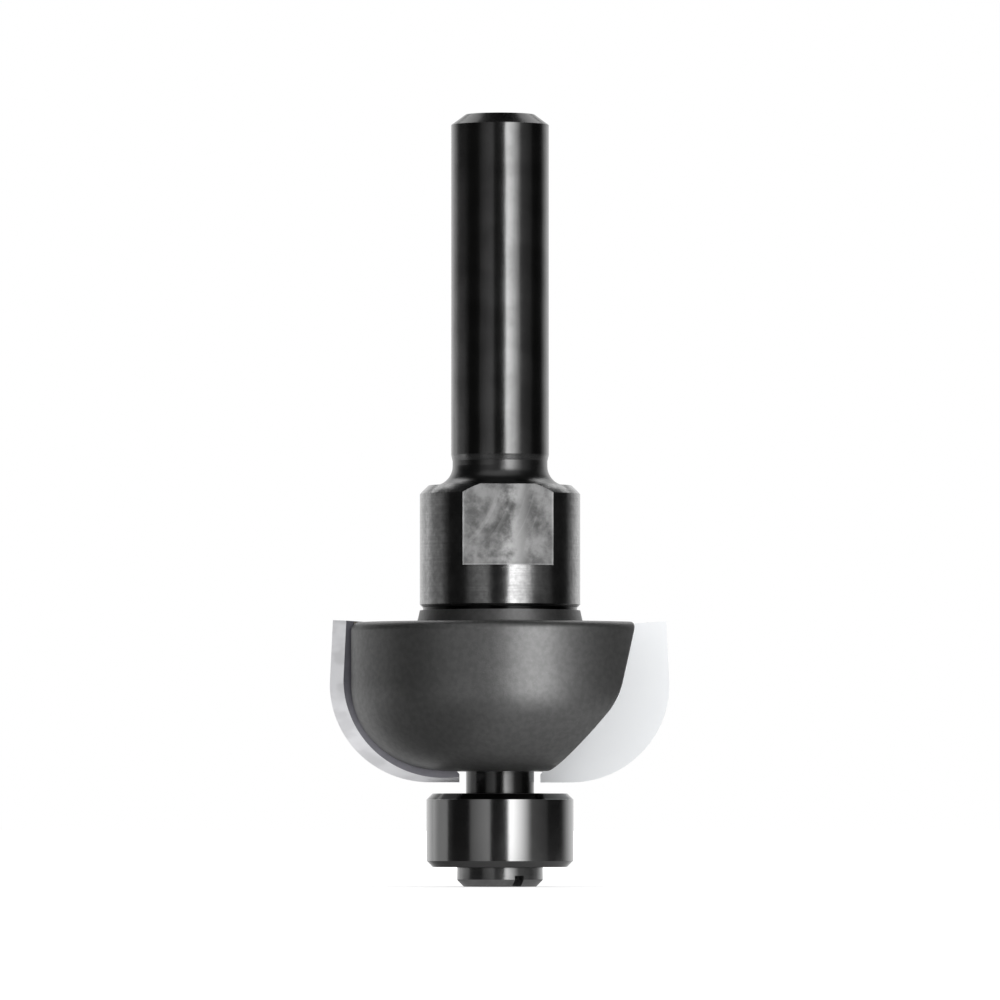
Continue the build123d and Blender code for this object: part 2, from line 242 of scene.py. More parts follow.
# --- Finishes -----------------------------------------------------------------------------
def shank_look(tree, look, place, cloud, fine_cloud):
    """Level, roughness and normal of the ground shank and of what is turned under it."""
    position, x, y, z = place
    waves = noise(tree, stretched(tree, position, 0.55, 0.55, 0.07), 1.0, 3.0)
    rings = line_noise(tree, z, 6.0, 3.0)
    clouds = span(tree, fine_cloud, 0.3, 0.7, 0.86, 1.12)
    level = calc(tree, "MULTIPLY", clouds, look.collar_level)
    level = calc(tree, "MULTIPLY", span(tree, rings, 0.3, 0.7, 0.94, 1.06), level)

    on_shank = span(tree, z, neck_top - 0.6, neck_top + 0.1)
    over_collar = span(tree, z, collar_top - 0.05, collar_top + 0.05)
    on_neck = both(tree, over_collar, span(tree, z, neck_top - NECK_TAPER, neck_top, 1.0, 0.0))
    # Painted shade: the end chamfer, which reflects the dark room overhead, gets a dark level of
    # its own.
    on_end = calc(tree, "GREATER_THAN", z, shank_top - END_CHAMFER + HAIR)
    # Painted shade: the shoulder, in the bowl's shadow over the bearing, gets a dark level of its
    # own.
    on_shoulder = calc(tree, "LESS_THAN", z, bowl_bottom - HAIR)
    for mask, own_level in (
        (on_shank, look.gloss_level),
        (on_neck, look.neck_level),
        (on_end, look.painted_end_shade),
        (on_shoulder, look.painted_shoulder_shade),
    ):
        level = blend_value(tree, mask, level, own_level)
    level = calc(tree, "MULTIPLY", level, span(tree, cloud, 0.3, 0.7, 0.85, 1.1))

    # Painted shade: the floor of the shallow groove is painted nearly black, as the shade inside a
    # groove.
    inside_rim = calc(tree, "LESS_THAN", length(tree, x, y), groove_floor + 0.8 * GROOVE_DEPTH)
    off_groove = apart(tree, z, (ring_top + groove_top) / 2)
    between_walls = calc(tree, "LESS_THAN", off_groove, GROOVE_WIDTH / 2 + HAIR)
    level = blend_value(tree, both(tree, inside_rim, between_walls), level, look.painted_groove_shade)

    rough = calc(tree, "MULTIPLY_ADD", cloud, 0.06, look.gloss_roughness - 0.03)
    rough = blend_value(tree, on_neck, rough, look.neck_roughness)
    long_marks = bump(tree, waves, look.wave_depth)
    return level, rough, bump(tree, rings, look.ring_depth, normal=long_marks)


def bowl_look(tree, look, place, fine_cloud):
    """Level, roughness and normal of the blasted bowl: fine grain with light specks."""
    position, x, y, z = place
    grain = noise(tree, position, 7.0, 5.0, 0.65)
    specks = span(tree, noise(tree, position, 5.5, 2.0, 0.7), 0.6, 0.78, 1.0, 1.2)
    level = calc(tree, "MULTIPLY", span(tree, fine_cloud, 0.3, 0.7, 0.92, 1.08), look.bowl_level)
    level = calc(tree, "MULTIPLY", level, specks)
    over_bowl = calc(tree, "GREATER_THAN", z, bowl_top + HAIR)
    on_cone = both(tree, over_bowl, calc(tree, "LESS_THAN", z, ring_top + HAIR))
    level = calc(tree, "MULTIPLY", level, blend_value(tree, on_cone, 1.0, look.cone_share))

    # The broken edges beside the tips are the only ones that lean along the turn. Their near-black
    # level is painted shade, the shadow line where the tips stand out of the bowl.
    broken = span(tree, turning_lean(tree, x, y), 0.12, 0.35)
    level = blend_value(tree, broken, level, look.painted_edge_shade)
    rough = calc(tree, "MULTIPLY_ADD", grain, 0.1, look.bowl_roughness - 0.05)
    return level, rough, bump(tree, grain, look.grain_depth)


def flat_look(tree, look, position, along, z):
    """Level, roughness and normal of a milled flat: worn arcs, clouds, a bright rim, and a swaying
    bright band that is a painted highlight.
    """
    mill_x = calc(tree, "SUBTRACT", along, look.mill_centre[0])
    mill_z = calc(tree, "SUBTRACT", z, collar_top + look.mill_centre[1])
    smudge = noise(tree, position, 0.7, 5.0, 0.6)
    patches = noise(tree, position, 0.5, 2.0, 0.5)
    arcs = line_noise(tree, length(tree, mill_x, mill_z), 1.6, 3.0)
    strokes = both(tree, span(tree, arcs, 0.54, 0.7), span(tree, patches, 0.42, 0.6))
    # Painted highlight: a bright band swaying down the flat, where the key softbox's reflection
    # falls.
    sway = calc(tree, "MULTIPLY", calc(tree, "SUBTRACT", smudge, 0.5), 3.2)
    off_painted_sheen = apart(tree, calc(tree, "ADD", along, sway), 0.6)
    painted_sheen = span(tree, off_painted_sheen, 0.1, 1.1, 1.0, 0.0)
    off_middle = calc(tree, "ABSOLUTE", along)
    side_rim = span(tree, off_middle, FLAT_HALF_WIDTH - 0.16, FLAT_HALF_WIDTH - 0.06)
    rim = calc(tree, "MAXIMUM", side_rim, span(tree, z, flat_foot + 0.16, flat_foot + 0.06))
    level = span(tree, smudge, 0.32, 0.68, 0.5, 1.3)
    for marks, share in ((strokes, 0.22), (painted_sheen, 0.75), (rim, 0.5)):
        level = calc(tree, "MULTIPLY_ADD", marks, share, level)
    level = calc(tree, "MULTIPLY", level, look.flat_level)
    rough = calc(tree, "MULTIPLY_ADD", patches, 0.2, look.flat_roughness - 0.1)
    return level, rough, bump(tree, calc(tree, "ADD", arcs, smudge), look.mill_depth)


def make_body_finish(look):
    """Black oxide, glossy on the ground shank and dull on the blasted bowl, bare on the flats."""
    material, tree = new_material("black_oxide_steel")
    place = millimetres(tree)
    position, x, y, z = place
    cloud = noise(tree, position, 0.45, 4.0)
    fine_cloud = noise(tree, position, 2.2, 3.0)
    along = calc(tree, "MULTIPLY_ADD", y, flat_normal.x, calc(tree, "MULTIPLY", x, -flat_normal.y))
    across = calc(tree, "MULTIPLY_ADD", y, flat_normal.y, calc(tree, "MULTIPLY", x, flat_normal.x))

    over_bottom = span(tree, z, bowl_bottom - 2 * HAIR, bowl_bottom + 2 * HAIR)
    under_ring = span(tree, z, ring_top - HAIR, ring_top + 3 * HAIR, 1.0, 0.0)
    is_bowl = both(tree, over_bottom, under_ring)
    off_plane = apart(tree, calc(tree, "ABSOLUTE", across), flat_distance)
    on_plane = calc(tree, "LESS_THAN", off_plane, 2 * HAIR)
    over_ledge = calc(tree, "GREATER_THAN", z, flat_foot - 2 * HAIR)
    under_top = calc(tree, "LESS_THAN", z, collar_top + 2 * HAIR)
    is_flat = both(tree, on_plane, both(tree, over_ledge, under_top))

    level, rough, normal = shank_look(tree, look, place, cloud, fine_cloud)
    bowl = bowl_look(tree, look, place, fine_cloud)
    flat = flat_look(tree, look, position, along, z)
    for mask, (own_level, own_rough, own_normal) in ((is_bowl, bowl), (is_flat, flat)):
        level = blend_value(tree, mask, level, own_level)
        rough = blend_value(tree, mask, rough, own_rough)
        normal = blend_normal(tree, mask, normal, own_normal)
    colour = put(tree, "ShaderNodeCombineColor", {0: level, 1: level, 2: level}).outputs[0]
    metallic = blend_value(tree, is_bowl, 1.0, 1.0 - look.bowl_dullness)
    finish_surface(tree, colour, rough, normal, metallic)
    return material


def make_carbide_finish(look):
    """Bright ground carbide with fine grinding lines, left dull where it was pressed."""
    material, tree = new_material("ground_carbide")
    position, _, y, z = millimetres(tree)
    lines = noise(tree, stretched(tree, position, 9.0, 9.0, 0.35), 1.0, 3.0)
    cloud = noise(tree, position, 0.6, 3.0)
    palest = grey(look.carbide_level, -0.016)
    rake = blend_colour(tree, cloud, grey(look.carbide_level * 0.98, -0.02), palest)

    # The flank, all that faces aside or down, is ground in bands and paler at its foot; the paler
    # foot is painted light.
    facing = put(tree, "ShaderNodeTexCoord").outputs["Normal"]
    lean = calc(tree, "ABSOLUTE", put(tree, "ShaderNodeSeparateXYZ", {0: facing}).outputs[1])
    on_flank = calc(tree, "LESS_THAN", lean, 0.9)
    bands = span(tree, noise(tree, stretched(tree, position, 0.3, 0.3, 0.9), 0.8, 2.0), 0.35, 0.65)
    foot = span(tree, z, cove_height - 4.0, cove_height + 0.5, look.painted_foot_light, 1.0)
    level = calc(tree, "MULTIPLY", span(tree, bands, 0.0, 1.0, 1.0, 1.2), foot)
    level = calc(tree, "MULTIPLY", level, look.flank_level)
    bluer = calc(tree, "MULTIPLY", level, 1.03)
    flank = put(tree, "ShaderNodeCombineColor", {0: level, 1: level, 2: bluer}).outputs[0]
    ground = blend_colour(tree, on_flank, rake, flank)

    # The pressed back is stained, and darkest high up.
    at_back = calc(tree, "GREATER_THAN", calc(tree, "ABSOLUTE", y), tip_back - 2 * HAIR)
    stain = noise(tree, position, 1.6, 4.0)
    dark = blend_colour(tree, stain, (0.045, 0.045, 0.055, 1), (0.075, 0.073, 0.09, 1))
    light = blend_colour(tree, stain, (0.16, 0.16, 0.18, 1), (0.23, 0.225, 0.255, 1))
    dull = blend_colour(tree, span(tree, z, cove_height - 5.0, cove_height + 1.0), light, dark)
    colour = blend_colour(tree, at_back, ground, dull)
    rough = calc(tree, "MULTIPLY_ADD", lines, 0.1, look.carbide_roughness - 0.05)
    normal = bump(tree, lines, 0.004, 0.6)
    finish_surface(tree, colour, rough, normal, metallic=0.06)
    return material


def make_braze_finish():
    """Dull silver solder."""
    material, tree = new_material("silver_braze")
    position = millimetres(tree)[0]
    lumps = noise(tree, position, 3.0, 3.0)
    colour = blend_colour(tree, lumps, (0.2, 0.17, 0.13, 1), (0.4, 0.36, 0.29, 1))
    rough = calc(tree, "MULTIPLY_ADD", lumps, 0.2, 0.35)
    finish_surface(tree, colour, rough, bump(tree, lumps, 0.02, 0.5))
    return material


def make_bearing_finish(look):
    """Polished bearing steel with faint rings round the axis, its upper chamfer darkened with
    painted shade.
    """
    material, tree = new_material("bearing_steel")
    position, x, y, z = millimetres(tree)
    rings = line_noise(tree, z, 9.0, 4.0)
    cloud = noise(tree, position, 0.9, 4.0)
    colour = blend_colour(tree, cloud, grey(look.bearing_level * 0.92), grey(look.bearing_level))
    # Painted shade: the upper chamfer, which reflects the dark room overhead, gets a dark colour of
    # its own.
    inner_edge = bearing_radius - BEARING_CHAMFER + 5 * HAIR
    near_rim = calc(tree, "GREATER_THAN", length(tree, x, y), inner_edge)
    near_top = calc(tree, "GREATER_THAN", z, bearing_high - BEARING_CHAMFER + 2 * HAIR)
    on_chamfer = both(tree, near_rim, near_top)
    colour = blend_colour(tree, on_chamfer, colour, grey(look.painted_chamfer_shade))
    rough = calc(tree, "MULTIPLY_ADD", cloud, 0.06, look.bearing_roughness - 0.03)
    finish_surface(tree, colour, rough, bump(tree, rings, 0.0003))
    return material


def make_sheet_finish():
    """Pressed sheet steel, spun marks running round."""
    material, tree = new_material("pressed_steel")
    position, x, y, _ = millimetres(tree)
    circles = line_noise(tree, length(tree, x, y), 14.0, 3.0)
    cloud = noise(tree, position, 1.4, 3.0)
    colour = blend_colour(tree, cloud, grey(0.34), grey(0.42))
    rough = calc(tree, "MULTIPLY_ADD", cloud, 0.1, 0.24)
    finish_surface(tree, colour, rough, bump(tree, circles, 0.003, 0.5))
    return material


def make_screw_finish(look):
    """Turned, lightly browned screw steel."""
    material, tree = new_material("screw_steel")
    position, x, y, z = millimetres(tree)
    facing = line_noise(tree, length(tree, x, y), 7.0, 3.0)
    rings = line_noise(tree, z, 8.0, 3.0)
    cloud = noise(tree, position, 1.1, 4.0, 0.6)
    colour = blend_colour(tree, cloud, grey(look.screw_level * 0.65), grey(look.screw_level * 1.3))
    rough = calc(tree, "MULTIPLY_ADD", cloud, 0.16, look.screw_roughness - 0.08)
    marks = calc(tree, "ADD", facing, rings)
    finish_surface(tree, colour, rough, bump(tree, marks, 0.0008))
    return material


# --- Geometry Nodes building --------------------------------------------------------------
def new_tree(name, inputs):
    """A geometry tree with named number inputs, its Group Input and its Group Output."""
    tree = bpy.data.node_groups.new(name, "GeometryNodeTree")
    tree.interface.new_socket("Geometry", in_out="OUTPUT", socket_type="NodeSocketGeometry")
    for label, value in inputs.items():
        kind = "NodeSocketInt" if isinstance(value, int) else "NodeSocketFloat"
        socket = tree.interface.new_socket(label, in_out="INPUT", socket_type=kind)
        socket.default_value = value
    return tree, tree.nodes.new("NodeGroupInput"), tree.nodes.new("NodeGroupOutput")


def end_tree(tree, geometry, material, output):
    """Realizes what the tree made, gives it its material and sends it out."""
    realized = put(tree, "GeometryNodeRealizeInstances", {0: geometry})
    painted = put(tree, "GeometryNodeSetMaterial", {0: realized.outputs[0], "Material": material})
    tree.links.new(painted.outputs[0], output.inputs[0])


def grown(name, tree, values):
    """Plain object holding the mesh that a tree makes from those named values."""
    seed = bpy.data.objects.new(name + "_seed", bpy.data.meshes.new(name + "_seed"))
    bpy.context.scene.collection.objects.link(seed)
    modifier = seed.modifiers.new("Growth", "NODES")
    modifier.node_group = tree
    for item in tree.interface.items_tree:
        if item.in_out == "INPUT" and item.name in values:
            modifier[item.identifier] = values[item.name]
    graph = bpy.context.evaluated_depsgraph_get()
    mesh = bpy.data.meshes.new_from_object(seed.evaluated_get(graph), depsgraph=graph)
    mesh.name = name
    bpy.data.objects.remove(seed)
    made = bpy.data.objects.new(name, mesh)
    bpy.context.scene.collection.objects.link(made)
    return made


def smooth_by_angle(made, degrees):
    """Shades faces smooth, apart from edges sharper than that."""
    for polygon in made.data.polygons:
        polygon.use_smooth = True
    made.data.set_sharp_from_angle(angle=radians(degrees))


def thread_tree(material):
    """One turn after another of a V thread on a closed rod, as a bent grid.

    The grid's first and last rows are drawn in to the axis, so that the rod is closed.
    """
    sizes = {
        "Bottom": 1.3 * MM,
        "Length": 7.8 * MM,
        "Radius": 1.5 * MM,
        "Depth": 0.3 * MM,
        "Pitch": 0.5 * MM,
        "Point": 0.4 * MM,
        "Around": 72,
        "Along": 220,
    }
    tree, given, output = new_tree("screw_thread", sizes)

    def work(operation, *values):
        """Output of a Math node of this tree."""
        return calc(tree, operation, *values)

    grid = put(
        tree,
        "GeometryNodeMeshGrid",
        {
            "Size X": 1.0,
            "Size Y": 1.0,
            "Vertices X": given.outputs["Around"],
            "Vertices Y": given.outputs["Along"],
        },
    )
    position = put(tree, "GeometryNodeInputPosition").outputs[0]
    place = put(tree, "ShaderNodeSeparateXYZ", {0: position})
    turn = work("ADD", place.outputs[0], 0.5)
    share = work("ADD", place.outputs[1], 0.5)
    height = work("MULTIPLY", share, given.outputs["Length"])
    phase = work("FRACT", work("SUBTRACT", work("DIVIDE", height, given.outputs["Pitch"]), turn))

    # From crest to root and back in one pitch, both cut flat.
    crest = 0.15
    steepness = 2.6
    flank = work("MULTIPLY", apart(tree, phase, 0.5), steepness)
    flank = work("MINIMUM", work("MAXIMUM", work("SUBTRACT", flank, crest), 0.0), 1.0)
    groove = work("MULTIPLY", flank, given.outputs["Depth"])

    # The point tapers, and the end rows close the rod.
    left = work("SUBTRACT", given.outputs["Length"], height)
    run_out = work("MAXIMUM", work("SUBTRACT", given.outputs["Point"], left), 0.0)
    radius = work("SUBTRACT", given.outputs["Radius"], work("MAXIMUM", run_out, groove))
    closed = work("MULTIPLY", work("GREATER_THAN", share, 0.001), work("LESS_THAN", share, 0.999))
    radius = work("MULTIPLY", radius, closed)
    angle = work("MULTIPLY", turn, 2 * pi)
    bent = put(
        tree,
        "ShaderNodeCombineXYZ",
        {
            0: work("MULTIPLY", radius, work("COSINE", angle)),
            1: work("MULTIPLY", radius, work("SINE", angle)),
            2: work("ADD", height, given.outputs["Bottom"]),
        },
    )
    rod = put(
        tree, "GeometryNodeSetPosition", {"Geometry": grid.outputs[0], "Position": bent.outputs[0]}
    )
    merged = put(
        tree, "GeometryNodeMergeByDistance", {"Geometry": rod.outputs[0], "Distance": 0.002 * MM}
    )
    end_tree(tree, merged.outputs[0], material, output)
    return tree


def rivet_tree(material):
    """Domed rivets on a circle, each a turned shank with a head at both ends."""
    sizes = {
        "Count": 7,
        "Circle": 4.195 * MM,
        "Height": bearing_middle * MM,
        "Half Grip": 0.2 * MM,
        "Shank": 0.225 * MM,
        "Head": 0.35 * MM,
        "Dome": 0.1 * MM,
        "Half Pitch": pi / 7,
    }
    tree, given, output = new_tree("cage_rivets", sizes)
    circle = put(
        tree,
        "GeometryNodeMeshCircle",
        {"Vertices": given.outputs["Count"], "Radius": given.outputs["Circle"]},
    )
    grip = calc(tree, "MULTIPLY", given.outputs["Half Grip"], 2.0)
    shank = put(
        tree,
        "GeometryNodeMeshCylinder",
        {"Vertices": 24, "Radius": given.outputs["Shank"], "Depth": grip},
    )
    ball = put(tree, "GeometryNodeMeshUVSphere", {"Segments": 24, "Rings": 16, "Radius": 1.0})
    position = put(tree, "GeometryNodeInputPosition").outputs[0]
    place = put(tree, "ShaderNodeSeparateXYZ", {0: position})
    lower = calc(tree, "LESS_THAN", place.outputs[2], -0.0001)
    half = put(tree, "GeometryNodeSetPosition", {"Geometry": ball.outputs[0], "Selection": lower})
    equator = put(tree, "ShaderNodeCombineXYZ", {0: place.outputs[0], 1: place.outputs[1], 2: 0.0})
    tree.links.new(equator.outputs[0], half.inputs["Position"])
    size = put(
        tree,
        "ShaderNodeCombineXYZ",
        {0: given.outputs["Head"], 1: given.outputs["Head"], 2: given.outputs["Dome"]},
    )
    up = put(tree, "ShaderNodeCombineXYZ", {2: given.outputs["Half Grip"]})
    head = put(
        tree,
        "GeometryNodeTransform",
        {"Geometry": half.outputs[0], "Translation": up.outputs[0], "Scale": size.outputs[0]},
    )
    foot = put(
        tree, "GeometryNodeTransform", {"Geometry": head.outputs[0], "Rotation": (pi, 0.0, 0.0)}
    )
    rivet = put(tree, "GeometryNodeJoinGeometry")
    for piece in (shank.outputs["Mesh"], head.outputs[0], foot.outputs[0]):
        tree.links.new(piece, rivet.inputs[0])
    set_out = put(
        tree,
        "GeometryNodeInstanceOnPoints",
        {"Points": circle.outputs[0], "Instance": rivet.outputs[0]},
    )
    lift = put(tree, "ShaderNodeCombineXYZ", {2: given.outputs["Height"]})
    twist = put(tree, "ShaderNodeCombineXYZ", {2: given.outputs["Half Pitch"]})
    turned = put(
        tree,
        "GeometryNodeTransform",
        {
            "Geometry": set_out.outputs[0],
            "Translation": lift.outputs[0],
            "Rotation": twist.outputs[0],
        },
    )
    end_tree(tree, turned.outputs[0], material, output)
    return tree


# --- Mesh building ------------------------------------------------------------------------
def placed(name, mesh):
    """Object in the scene that takes over a bmesh."""
    data = bpy.data.meshes.new(name)
    mesh.to_mesh(data)
    mesh.free()
    made = bpy.data.objects.new(name, data)
    bpy.context.scene.collection.objects.link(made)
    return made


def turned_piece(name, outline, steps=128):
    """Closed solid from an outline of (radius, height) in millimetres, from axis to axis."""
    mesh = bmesh.new()
    corners = [mesh.verts.new((radius * MM, 0.0, height * MM)) for radius, height in outline]
    edges = [mesh.edges.new(pair) for pair in zip(corners, corners[1:])]
    whole = {"cent": (0, 0, 0), "axis": (0, 0, 1), "angle": 2 * pi, "steps": steps}
    bmesh.ops.spin(mesh, geom=corners + edges, use_merge=True, **whole)
    bmesh.ops.remove_doubles(mesh, verts=mesh.verts, dist=0.0005 * MM)
    bmesh.ops.recalc_face_normals(mesh, faces=mesh.faces)
    return placed(name, mesh)


def block(name, size, middle, turn):
    """Box of that size in millimetres, turned about the axis."""
    mesh = bmesh.new()
    place = Matrix.Rotation(turn, 4, "Z") @ Matrix.Translation(Vector(middle) * MM)
    shape = place @ Matrix.Diagonal(Vector(size) * MM).to_4x4()
    bmesh.ops.create_cube(mesh, size=1.0, matrix=shape)
    return placed(name, mesh)


def combine(base, other, operation):
    """Applies an exact Boolean and takes the second object away."""
    modifier = base.modifiers.new("Combine", "BOOLEAN")
    modifier.operation = operation
    modifier.object = other
    modifier.solver = "EXACT"
    graph = bpy.context.evaluated_depsgraph_get()
    mesh = bpy.data.meshes.new_from_object(base.evaluated_get(graph), depsgraph=graph)
    base.modifiers.clear()
    base.data = mesh
    bpy.data.objects.remove(other)


def cove_place(place):
    """The nearest point of the ground cove, for a point on a tip's flank, in millimetres.

    The cove is a true arc in the plane through the axis, and moves along the relief.
    """
    shift = RELIEF * ((place.y - rake_offset) / (tip_back - rake_offset))
    radius = Vector((place.x - shift.x, rake_offset)).length
    out = Vector((radius - bearing_radius, place.z - shift.z - cove_height)).normalized()
    out *= COVE_RADIUS
    along = ((bearing_radius + out.x) ** 2 - rake_offset**2) ** 0.5
    return Vector((along + shift.x, place.y, cove_height + out.y + shift.z))


def fine_tip(letter, turn):
    """A packed tip's own form, with its flank on the true arc and rounded with more faces."""
    weld = 0.0005  # points closer than this are one
    stand_off = 0.08  # a packed point of the cove lies this near to the arc, or nearer
    shares = 6  # edges that take the place of one
    mesh = bmesh.new()
    mesh.from_mesh(NODES["carbide_tip_" + letter].data)
    into = Matrix.Scale(1 / MM, 4) @ Matrix.Rotation(-turn, 4, "Z")
    bmesh.ops.transform(mesh, matrix=into, verts=mesh.verts)
    bmesh.ops.remove_doubles(mesh, verts=mesh.verts, dist=weld)
    mesh.normal_update()

    def is_inside(edge):
        """Whether an edge only splits the rake face or the back into triangles."""
        faces = edge.link_faces
        return len(faces) == 2 and all(abs(face.normal.y) > 0.99 for face in faces)

    inner = [edge for edge in mesh.edges if is_inside(edge)]
    bmesh.ops.dissolve_edges(mesh, edges=inner, use_verts=False)

    def on_cove(corner):
        """Whether a corner belongs to the cove's arc."""
        under_top = corner.co.z < cove_height + RELIEF.z
        return under_top and (cove_place(corner.co) - corner.co).length < stand_off

    def is_round(edge):
        """Whether an edge runs along the arc."""
        one, other = edge.verts
        return abs(one.co.y - other.co.y) < 2 * weld and on_cove(one) and on_cove(other)

    rounds = [edge for edge in mesh.edges if is_round(edge)]
    ends = {corner for edge in rounds for corner in edge.verts}
    for edge in rounds:
        end = edge.verts[0]
        for left in range(shares, 1, -1):
            end = bmesh.utils.edge_split(edge, end, 1 / left)[1]
            ends.add(end)
    for corner in ends:
        corner.co = cove_place(corner.co)
    mesh.normal_update()
    flank = [face for face in mesh.faces if abs(face.normal.y) < 0.9]
    bmesh.ops.triangulate(mesh, faces=flank)
    bmesh.ops.transform(mesh, matrix=into.inverted(), verts=mesh.verts)
    bmesh.ops.recalc_face_normals(mesh, faces=mesh.faces)
    return placed("ground_tip_" + letter, mesh)


# --- Sizes and colours that a user would change -------------------------------------------
class BodyLook(bpy.types.PropertyGroup):
    """Finish of the steel body."""

    gloss_level: FloatProperty(
        name="Shank Level", description="Brightness of the oxide on the shank", default=0.17
    )
    collar_level: FloatProperty(
        name="Collar Level", description="Brightness of the oxide on the collar", default=0.3
    )
    gloss_roughness: FloatProperty(
        name="Gloss Roughness", description="Roughness of shank and collar", default=0.2
    )
    neck_level: FloatProperty(
        name="Neck Level", description="Brightness of the relief under the shank", default=0.17
    )
    neck_roughness: FloatProperty(
        name="Neck Roughness", description="Roughness of the relief", default=0.3
    )
    # Painted shade on the shank's end chamfer.
    painted_end_shade: FloatProperty(
        name="End Level", description="Brightness of the chamfer at the shank's end", default=0.06
    )
    cone_share: FloatProperty(
        name="Cone Share",
        description="Brightness of the cone over the bowl, next to it",
        default=0.7,
    )
    # Painted shade on the shoulder under the bowl.
    painted_shoulder_shade: FloatProperty(
        name="Shoulder Level",
        description="Brightness of the shoulder over the bearing",
        default=0.09,
    )
    # Painted shade in the turned groove.
    painted_groove_shade: FloatProperty(
        name="Groove Level", description="Brightness of the turned groove", default=0.01
    )
    bowl_level: FloatProperty(
        name="Bowl Level", description="Brightness of the blasted bowl", default=0.27
    )
    bowl_roughness: FloatProperty(
        name="Bowl Roughness", description="Roughness of the blasted bowl", default=0.46
    )
    bowl_dullness: FloatProperty(
        name="Bowl Dullness", description="Share of the bowl's light that scatters", default=0.04
    )
    # Painted shade along the tips' seats.
    painted_edge_shade: FloatProperty(
        name="Edge Level", description="Brightness of the bowl's broken edges", default=0.03
    )
    flat_level: FloatProperty(
        name="Flat Level", description="Brightness of the milled flats", default=0.2
    )
    flat_roughness: FloatProperty(
        name="Flat Roughness", description="Roughness of the milled flats", default=0.42
    )
    mill_centre: FloatVectorProperty(
        name="Mill Centre",
        description="Centre of the milling arcs, along the flat and above the collar, in mm",
        size=2,
        default=(-9.0, 1.5),
    )
    wave_depth: FloatProperty(
        name="Wave Depth", description="Depth of the long waves of the shank, in mm", default=0.02
    )
    ring_depth: FloatProperty(
        name="Ring Depth", description="Depth of the turning rings, in mm", default=0.0008
    )
    grain_depth: FloatProperty(
        name="Grain Depth", description="Depth of the bowl's grain, in mm", default=0.009
    )
    mill_depth: FloatProperty(
        name="Mill Depth", description="Depth of the milling arcs, in mm", default=0.006
    )


class TipLook(bpy.types.PropertyGroup):
    """Finish of the carbide tips."""

    carbide_level: FloatProperty(
        name="Carbide Level", description="Brightness of the ground carbide", default=0.95
    )
    flank_level: FloatProperty(
        name="Flank Level", description="Brightness of the ground flank", default=0.5
    )
    # Painted light on the lower flank.
    painted_foot_light: FloatProperty(
        name="Foot Share",
        description="Brightness of the flank's foot, next to its top",
        default=1.4,
    )
    carbide_roughness: FloatProperty(
        name="Carbide Roughness", description="Roughness of the ground carbide", default=0.5
    )


class BearingLook(bpy.types.PropertyGroup):
    """Finish of the guide bearing and its screw."""

    bearing_level: FloatProperty(
        name="Bearing Level", description="Brightness of the polished rings", default=0.3
    )
    # Painted shade on the bearing's upper chamfer.
    painted_chamfer_shade: FloatProperty(
        name="Chamfer Level", description="Brightness of the upper chamfer", default=0.05
    )
    bearing_roughness: FloatProperty(
        name="Bearing Roughness", description="Roughness of the polished rings", default=0.16
    )
    screw_level: FloatProperty(
        name="Screw Level", description="Brightness of the pilot screw", default=0.25
    )
    screw_roughness: FloatProperty(
        name="Screw Roughness", description="Roughness of the pilot screw", default=0.2
    )
    thread_pitch: FloatProperty(
        name="Thread Pitch", description="Pitch of the screw's thread, in mm", default=0.5
    )


class StudioLook(bpy.types.PropertyGroup):
    """Camera and light."""

    distance: FloatProperty(
        name="Distance", description="Camera to axis", default=0.85, unit="LENGTH"
    )
    eye_height: FloatProperty(
        name="Eye Height", description="Camera above the floor", default=0.00466, unit="LENGTH"
    )
    aim_height: FloatProperty(
        name="Aim Height",
        description="Point looked at, above the floor",
        default=0.03155,
        unit="LENGTH",
    )
    field: FloatProperty(
        name="Field", description="Camera's angle of view", default=radians(5.4966), subtype="ANGLE"
    )
    key_level: FloatProperty(
        name="Key Level", description="Brightness of the tall softbox", default=4.8
    )
    top_level: FloatProperty(
        name="Top Level", description="Brightness of the softbox overhead", default=0.3
    )
    back_level: FloatProperty(
        name="Back Level", description="Brightness of the softbox over the back", default=1.5
    )
    floor_colour: FloatVectorProperty(
        name="Floor", description="Colour of the floor", subtype="COLOR", default=(0.5, 0.5, 0.5)
    )


class RouterBitLook(bpy.types.PropertyGroup):
    """All that a user would change."""

    body: PointerProperty(type=BodyLook)
    tips: PointerProperty(type=TipLook)
    bearing: PointerProperty(type=BearingLook)
    studio: PointerProperty(type=StudioLook)


# --- Studio -------------------------------------------------------------------------------
# Softboxes beside the key: azimuth of the left and right side in degrees, height of foot and
# top in metres, level, and the share of it that the left and the right side give.
SIDE_LAMPS = {
    "key_wing": (50.0, 80.0, -0.4, 0.62, 0.15, (1.0, 0.4)),
    "left_panel": (-48.0, -15.0, 0.03, 0.6, 0.23, (0.25, 1.0)),
    "low_left_panel": (-48.0, -15.0, -0.4, 0.03, 0.75, (0.35, 1.0)),
    "left_wing": (-132.0, -80.0, 0.03, 0.08, 0.9, (0.9, 0.15)),
    "low_left_wing": (-130.0, -90.0, -0.4, 0.03, 0.55, (0.6, 1.1)),
}
ROOM_LEVEL = 0.02  # brightness of the dark room, which only polished metal shows


def direction(azimuth, elevation=0.0):
    """Unit vector for degrees to the right of the camera and above the horizon."""
    a, e = radians(azimuth), radians(elevation)
    return Vector((sin(a) * cos(e), -cos(a) * cos(e), sin(e)))


